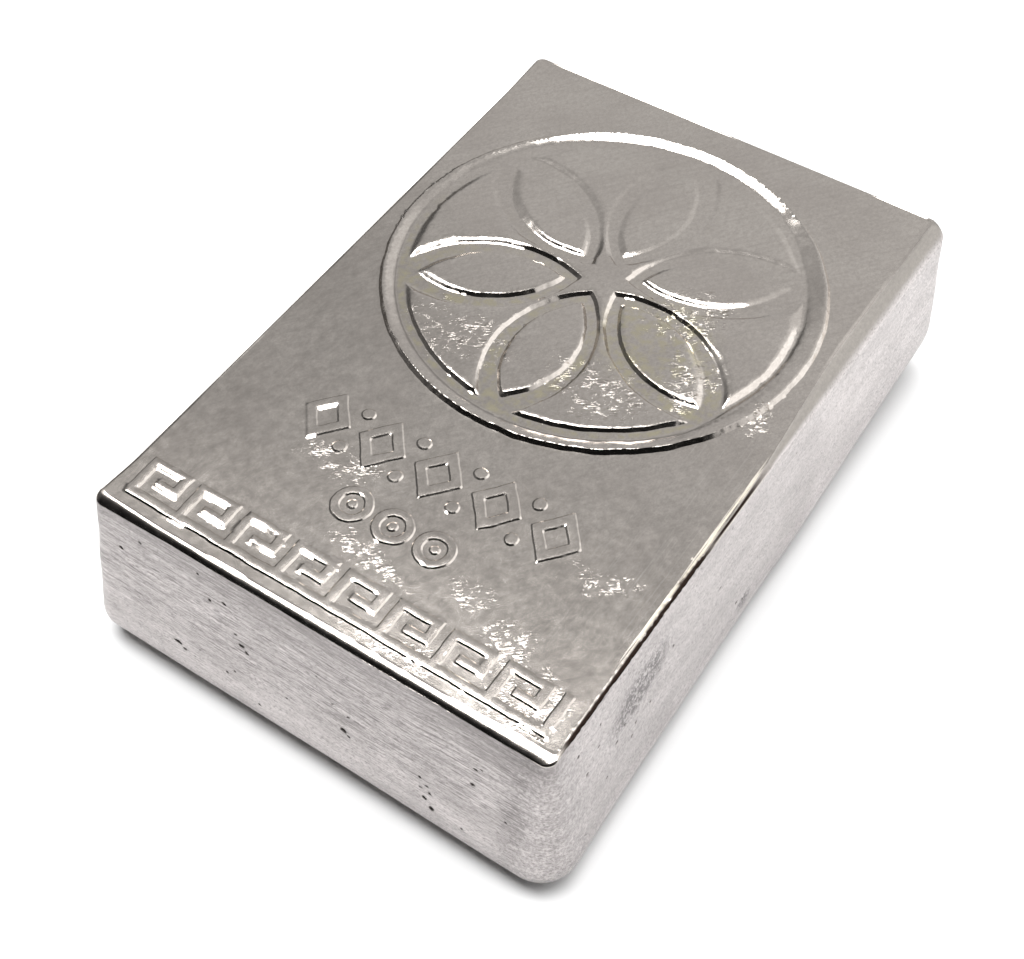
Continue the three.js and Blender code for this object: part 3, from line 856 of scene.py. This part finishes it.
# Painted shade: the upper part of the rolled edge at the back right is darkened
roll_shade_colour = blend(span(speck, 0.35, 0.65, 0.45, 0.0), ROLL_SHADE_METAL, SCRATCHED_AND_SHADE_METAL)
side_colour = blend(mark("roll_shade"), side_colour, roll_shade_colour)
colour = blend(side_mark, top_colour, side_colour)
# The pits are painted dark, and the same dark paints shade along the rim's inner foot
colour = blend(reckon("MULTIPLY", mark("pits_and_rim_shade"), 0.9), colour, PIT_AND_RIM_SHADE_DARK)
# The crumbly right edge and the thin line beyond it are painted near black: brownish grime and
# painted shade
colour = blend(mark("edge_grime_and_shade"), colour, EDGE_GRIME_AND_SHADE)

top_roughness = span(fine_mottle, 0.3, 0.7, 0.14, 0.19)
side_roughness = span(scratches, 0.3, 0.7, 0.32, 0.5)
roughness = add("Mix", {0: side_mark, 2: top_roughness, 3: side_roughness}).outputs[0]
dulled = reckon("MAXIMUM", mark("edge_grime_and_shade"), rubbed)
roughness = add("Mix", {0: dulled, 2: roughness, 3: 0.7}).outputs[0]

# Heights in millimetres. The crystals are fine grains with short curved ridges among them.
skin = reckon("MULTIPLY", fine_mottle, 0.003)
satin = reckon("MULTIPLY", lumps(millimetres, 6.0, (1, 1, 1), 0.0, 2.0, 0.6), 0.002)
swirl = add("TexNoise", {"Vector": millimetres, "Scale": 0.5, "Detail": 1.0}).outputs["Color"]
swirled = add("VectorMath", {0: swirl, 1: (0.45, 0.45, 0.45)}, operation="MULTIPLY").outputs[0]
swirled = add("VectorMath", {0: millimetres, 1: swirled}, operation="ADD").outputs[0]
feather = lumps(swirled, 1.0, (1.9, 7.5, 1.0), math.radians(-40), 2.0, 0.6)
ridges = reckon("MULTIPLY", span(feather, 0.5, 0.68), 0.019)
grains = lumps(swirled, 8.0, (0.7, 1.3, 1.0), math.radians(-40), 1.0, 0.5)
grains = reckon("MULTIPLY", grains, 0.015)
clumps = lumps(millimetres, 1.1, (1, 1, 1), 0.0, 5.0, 0.75)
feathery = reckon("MULTIPLY", frost_mark, span(clumps, 0.48, 0.6))
ridges = reckon("MULTIPLY", ridges, feathery)
# Painted shade: the crevices between the crystals' ridges are darkened
crevice_shade = reckon("MULTIPLY", span(feather, 0.4, 0.47, 0.9, 0.0), feathery)
colour = blend(crevice_shade, colour, CREVICE_SHADE_METAL)
grains = reckon("MULTIPLY", grains, reckon("MULTIPLY", frost_mark, span(clumps, 0.5, 0.66)))
brushing = reckon("MULTIPLY", scratches, reckon("MULTIPLY", brushing_and_light_lift_mark, 0.035))
sanding = reckon("MULTIPLY", grain, reckon("MULTIPLY", side_mark, 0.02))
heights = reckon("ADD", reckon("ADD", skin, ridges), reckon("ADD", brushing, sanding))
heights = reckon("ADD", heights, reckon("ADD", satin, grains))
normal = add("Bump", {"Height": heights, "Strength": 1.0, "Distance": 0.001}).outputs[0]

looks = {"Base Color": colour, "Roughness": roughness, "Normal": normal, "Metallic": 1.0}
metal = add("BsdfPrincipled", looks)
add("OutputMaterial", {"Surface": metal.outputs[0]})
ingot_mesh.materials.append(finish)

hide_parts("ingot")
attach(ingot, "root")


# ---- The floor, the light and the camera ----
# A plain white floor, an oval soft light overhead and a dim room round it.

FLOOR_SIZE = 6
FLOOR_COLOUR = (0.9, 0.9, 0.9, 1)
FLOOR_ROUGHNESS = 0.9

bpy.ops.mesh.primitive_plane_add(size=FLOOR_SIZE)
floor = bpy.context.object
floor.name = "floor"
floor_finish = bpy.data.materials.new("white_floor")
floor_finish.use_nodes = True
floor_shader = floor_finish.node_tree.nodes["Principled BSDF"]
floor_shader.inputs["Base Color"].default_value = FLOOR_COLOUR
floor_shader.inputs["Roughness"].default_value = FLOOR_ROUGHNESS
floor.data.materials.append(floor_finish)


def soft_light(name, place, size, turn, power):
    """An oval light of that length and width in metres, turned from shining straight down."""
    light = bpy.data.lights.new(name, "AREA")
    light.shape = "ELLIPSE"
    light.size = size[0]
    light.size_y = size[1]
    light.energy = power
    lamp = bpy.data.objects.new(name, light)
    lamp.location = place
    lamp.rotation_euler = turn
    bpy.context.scene.collection.objects.link(lamp)


soft_light("overhead_light", (-0.243, 0.03, 1.3), (1.36, 0.91), (0, 0, 0), 28)
soft_light("side_light", (1.05, 0.72, 0.7), (2.2, 2.2), (0, math.radians(61), math.radians(34)), 9)

world = bpy.data.worlds.new("studio")
world.use_nodes = True
bpy.context.scene.world = world
room = world.node_tree
sky_direction = room.nodes.new("ShaderNodeTexCoord").outputs["Generated"]


def room_shade(axis, stops):
    """Brightness of the room by how far a direction turns towards that axis."""
    turned = room.nodes.new("ShaderNodeVectorMath")
    turned.operation = "DOT_PRODUCT"
    turned.inputs[1].default_value = Vector(axis).normalized()
    room.links.new(sky_direction, turned.inputs[0])
    shade = room.nodes.new("ShaderNodeValToRGB")
    while len(shade.color_ramp.elements) < len(stops):
        shade.color_ramp.elements.new(0.5)
    for element, (place, brightness) in zip(shade.color_ramp.elements, stops):
        element.position = place
        element.color = (brightness, brightness, brightness, 1)
    room.links.new(turned.outputs["Value"], shade.inputs["Fac"])
    return shade.outputs["Color"]


# The room is brighter along its back wall and its right wall, and dark in front
overhead = room_shade((-0.35, 0.3, 0.89), [(0.6, 0.12), (0.78, 0.18), (0.93, 0.42)])
back_wall = room_shade((-0.2, 0.85, 0.45), [(0.78, 0.0), (0.93, 0.6)])
right_wall = room_shade((0.45, 0.7, 0.5), [(0.62, 0.0), (0.85, 0.85)])
in_front = room_shade((0.35, -0.85, 0.39), [(0.3, 1.0), (0.6, 0.05)])


def mixed_shades(first, second, how):
    """Two shades of the room mixed to one."""
    mixed = room.nodes.new("ShaderNodeMix")
    mixed.data_type = "RGBA"
    mixed.blend_type = how
    mixed.inputs[0].default_value = 1.0
    room.links.new(first, mixed.inputs[6])
    room.links.new(second, mixed.inputs[7])
    return mixed.outputs[2]


lit = mixed_shades(mixed_shades(overhead, back_wall, "LIGHTEN"), right_wall, "LIGHTEN")
room_colour = mixed_shades(lit, in_front, "MULTIPLY")
room.links.new(room_colour, room.nodes["Background"].inputs["Color"])
bpy.context.scene.view_settings.view_transform = "Standard"

# The axis meets the ingot's middle height at AIM, and the picture is shifted sideways
AIM = Vector((-0.00226, -0.00899, 0.0086))
DISTANCE = 0.13226
AZIMUTH = math.radians(34.98)
ELEVATION = math.radians(52.11)
ROLL = math.radians(-0.84)
IMAGE_WIDTH = 1024
FOCAL_PIXELS = 1627.8
SENSOR_WIDTH = 36.0
SHIFT_PIXELS = 50

lens = bpy.data.cameras.new("camera")
lens.sensor_width = SENSOR_WIDTH
lens.lens = FOCAL_PIXELS / IMAGE_WIDTH * SENSOR_WIDTH
lens.shift_x = SHIFT_PIXELS / IMAGE_WIDTH
lens.clip_start = 0.01
camera = bpy.data.objects.new("camera", lens)
back = Vector((
    math.sin(AZIMUTH) * math.cos(ELEVATION),
    -math.cos(AZIMUTH) * math.cos(ELEVATION),
    math.sin(ELEVATION),
))
turned = (-back).to_track_quat("-Z", "Y").to_matrix() @ Matrix.Rotation(ROLL, 3, "Z")
camera.matrix_world = Matrix.Translation(AIM + back * DISTANCE) @ turned.to_4x4()
bpy.context.scene.collection.objects.link(camera)
bpy.context.scene.camera = camera
